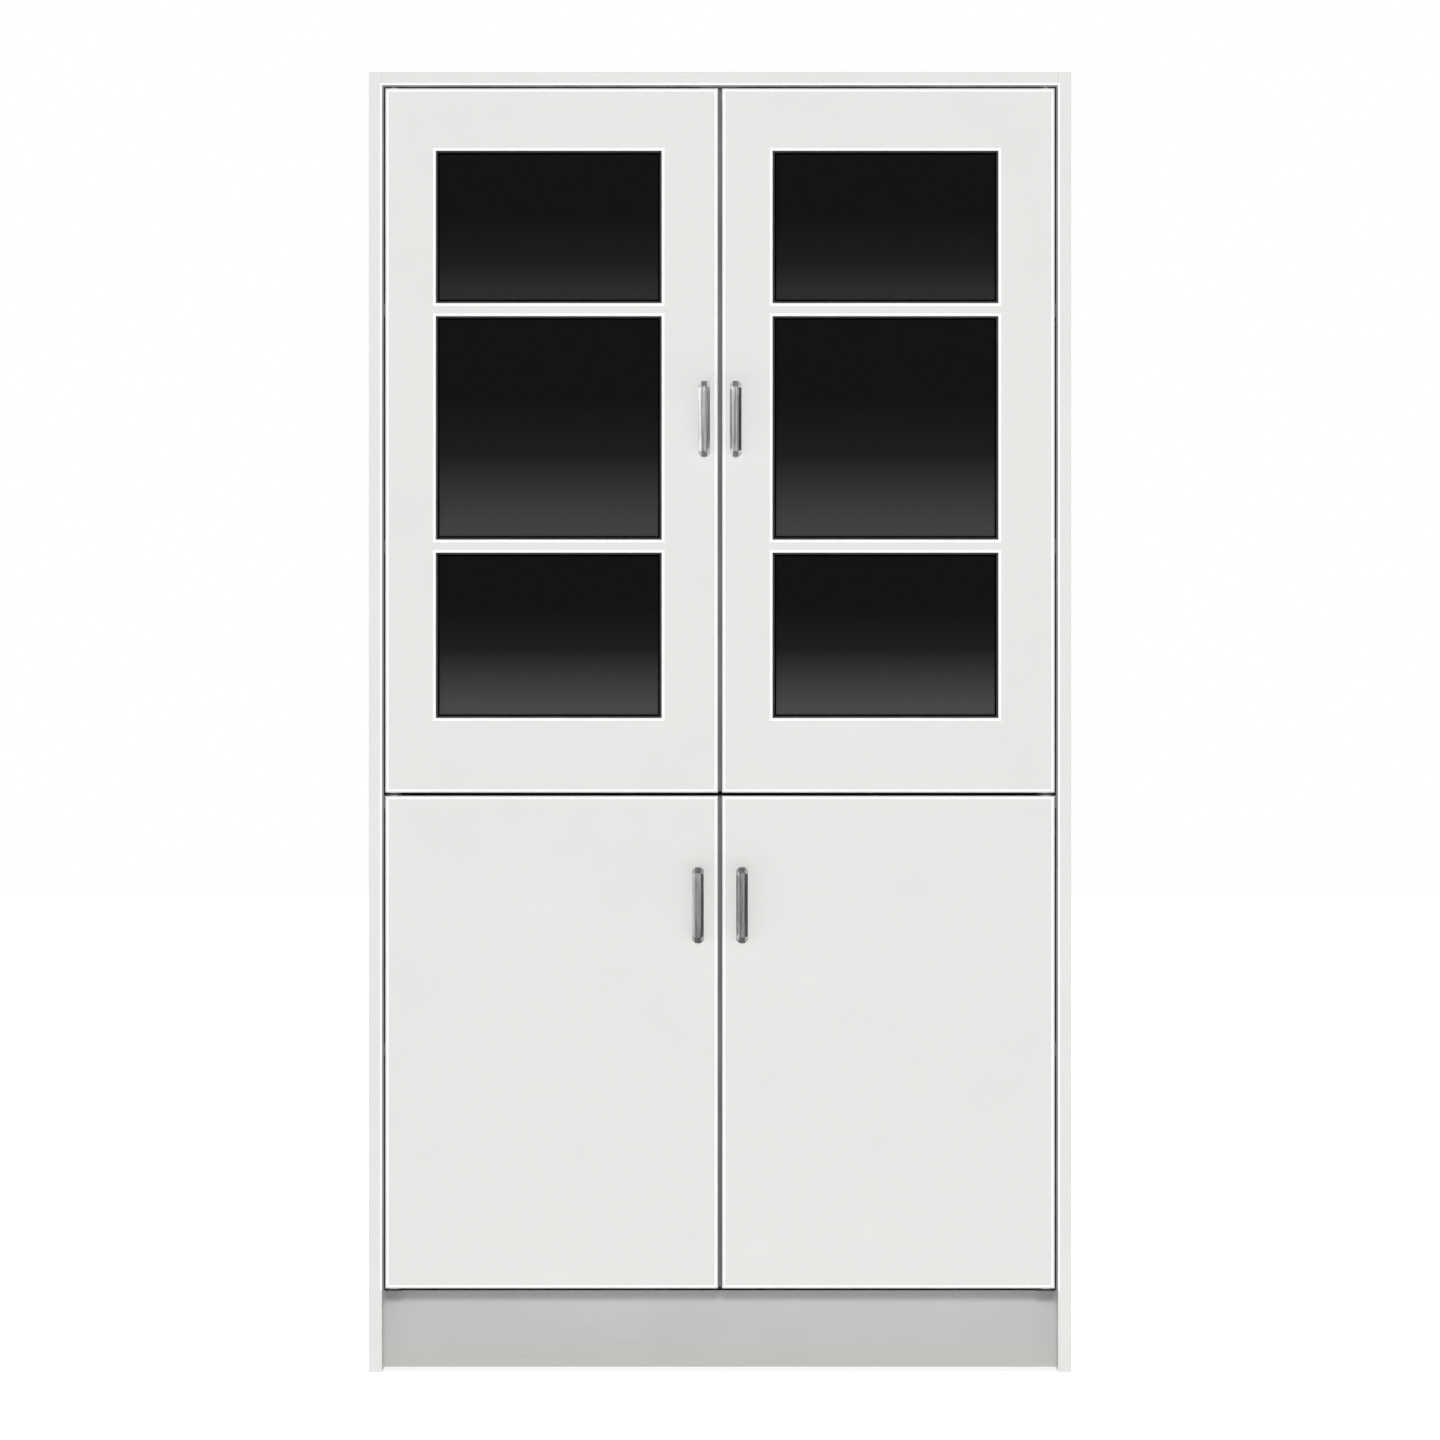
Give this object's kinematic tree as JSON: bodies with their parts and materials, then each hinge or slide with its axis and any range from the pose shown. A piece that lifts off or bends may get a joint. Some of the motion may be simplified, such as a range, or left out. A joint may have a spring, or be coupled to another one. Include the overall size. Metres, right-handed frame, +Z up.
{
  "type": "chemical storage cabinet",
  "caption": "Tall free-standing board cabinet with glazed upper doors over plain lower doors, bow handles, loose shelves and a recessed plinth.",
  "frame": {"origin": "on the floor, under the middle of the closed cabinet with its handles", "axes": "+Z up, -Y out of the front, +X to the right as seen from the front"},
  "size_m": [0.972, 0.477, 1.8],
  "materials": {
    "carcass_laminate": "satin",
    "door_laminate": "satin",
    "plinth_laminate": "satin",
    "back_board": "matte",
    "beech": "matte",
    "smoked_glass": "gloss",
    "bright_chrome": "polished",
    "zinc": "satin",
    "zinc_steel": "satin",
    "black_steel": "satin",
    "black_rubber": "matte",
    "white_plastic": "satin",
    "white_nylon": "satin",
    "dark_magnet": "satin"
  },
  "bodies": {
    "carcass": {"bottom_panel": "carcass_laminate", "bottom_pivot_plates": "black_steel", "cam_bolts": "zinc", "cam_locks": "zinc", "catch_housings": "white_plastic", "catch_magnets": "dark_magnet", "catch_screws": "zinc_steel", "centre_pivot_plates": "black_steel", "front_plinth": "plinth_laminate", "left_side_panel": "carcass_laminate", "lower_back_panel": "back_board", "lower_shelf": "carcass_laminate", "middle_panel": "carcass_laminate", "middle_shelf": "carcass_laminate", "pivot_pins": "zinc_steel", "pivot_plate_screws": "zinc_steel", "rear_plinth": "carcass_laminate", "right_side_panel": "carcass_laminate", "shelf_supports": "zinc", "top_panel": "carcass_laminate", "top_pivot_plates": "black_steel", "upper_back_panel": "back_board", "upper_shelf": "carcass_laminate", "wood_dowels": "beech"},
    "upper_left_door": {"upper_left_bottom_glass": "smoked_glass", "upper_left_door_panel": "door_laminate", "upper_left_glazing_beads": "white_plastic", "upper_left_glazing_gaskets": "black_rubber", "upper_left_handle": "bright_chrome", "upper_left_handle_screws": "zinc_steel", "upper_left_middle_glass": "smoked_glass", "upper_left_pivot_bushes": "white_nylon", "upper_left_strike_plate": "zinc_steel", "upper_left_strike_screw": "zinc_steel", "upper_left_top_glass": "smoked_glass"},
    "upper_right_door": {"upper_right_bottom_glass": "smoked_glass", "upper_right_door_panel": "door_laminate", "upper_right_glazing_beads": "white_plastic", "upper_right_glazing_gaskets": "black_rubber", "upper_right_handle": "bright_chrome", "upper_right_handle_screws": "zinc_steel", "upper_right_middle_glass": "smoked_glass", "upper_right_pivot_bushes": "white_nylon", "upper_right_strike_plate": "zinc_steel", "upper_right_strike_screw": "zinc_steel", "upper_right_top_glass": "smoked_glass"},
    "lower_left_door": {"lower_left_door_panel": "door_laminate", "lower_left_handle": "bright_chrome", "lower_left_handle_screws": "zinc_steel", "lower_left_pivot_bushes": "white_nylon", "lower_left_strike_plate": "zinc_steel", "lower_left_strike_screw": "zinc_steel"},
    "lower_right_door": {"lower_right_door_panel": "door_laminate", "lower_right_handle": "bright_chrome", "lower_right_handle_screws": "zinc_steel", "lower_right_pivot_bushes": "white_nylon", "lower_right_strike_plate": "zinc_steel", "lower_right_strike_screw": "zinc_steel"}
  },
  "joints": [
    {"name": "upper_left_door_swing", "type": "hinge", "parent": "carcass", "child": "upper_left_door", "pos_m": [-0.4515, -0.2025, 1.28988], "axis": [0, 0, -1], "range_deg": [0, 110]},
    {"name": "upper_right_door_swing", "type": "hinge", "parent": "carcass", "child": "upper_right_door", "pos_m": [0.4515, -0.2025, 1.28988], "axis": [0, 0, 1], "range_deg": [0, 110]},
    {"name": "lower_left_door_swing", "type": "hinge", "parent": "carcass", "child": "lower_left_door", "pos_m": [-0.4515, -0.2025, 0.45675], "axis": [0, 0, -1], "range_deg": [0, 110]},
    {"name": "lower_right_door_swing", "type": "hinge", "parent": "carcass", "child": "lower_right_door", "pos_m": [0.4515, -0.2025, 0.45675], "axis": [0, 0, 1], "range_deg": [0, 110]}
  ]
}
